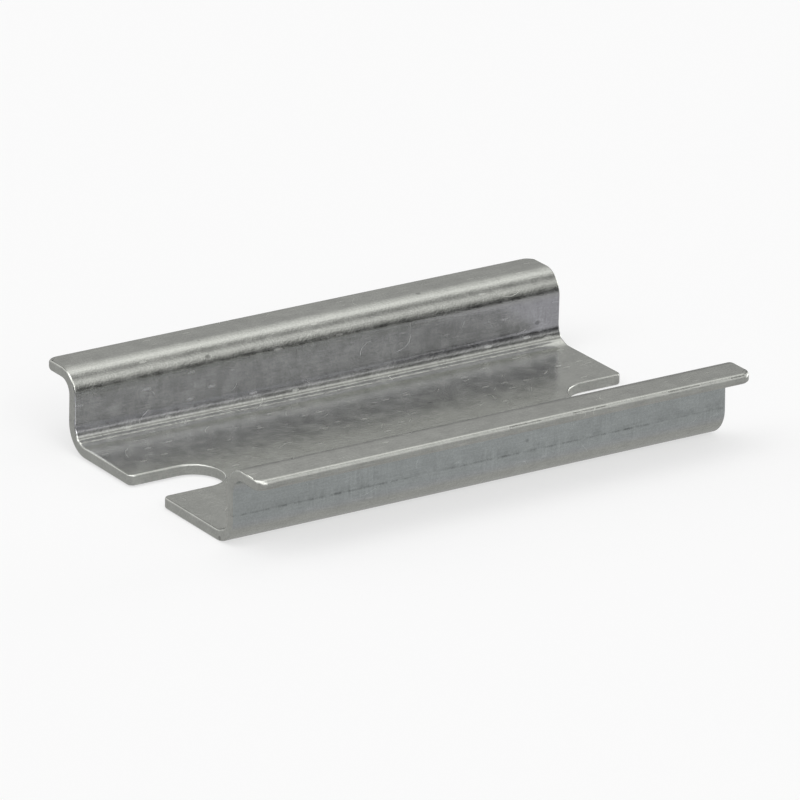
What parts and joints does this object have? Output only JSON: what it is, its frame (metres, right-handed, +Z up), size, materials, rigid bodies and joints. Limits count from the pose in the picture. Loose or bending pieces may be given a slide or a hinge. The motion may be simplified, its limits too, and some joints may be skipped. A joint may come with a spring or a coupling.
{
  "type": "din rail",
  "caption": "Short top-hat section mounting rail of bent zinc-plated steel strip, with an open round-bottomed fixing slot in each end and lips that clip-on devices hook over.",
  "frame": {"origin": "centre of the underside of the web, on the surface that the rail lies on", "axes": "+X along the rail, +Y across it, +Z up out of the open channel"},
  "size_m": [0.0508, 0.035, 0.0075],
  "materials": {
    "zinc_plated_steel": "satin"
  },
  "bodies": {
    "root": {"rail": "zinc_plated_steel"}
  },
  "joints": []
}
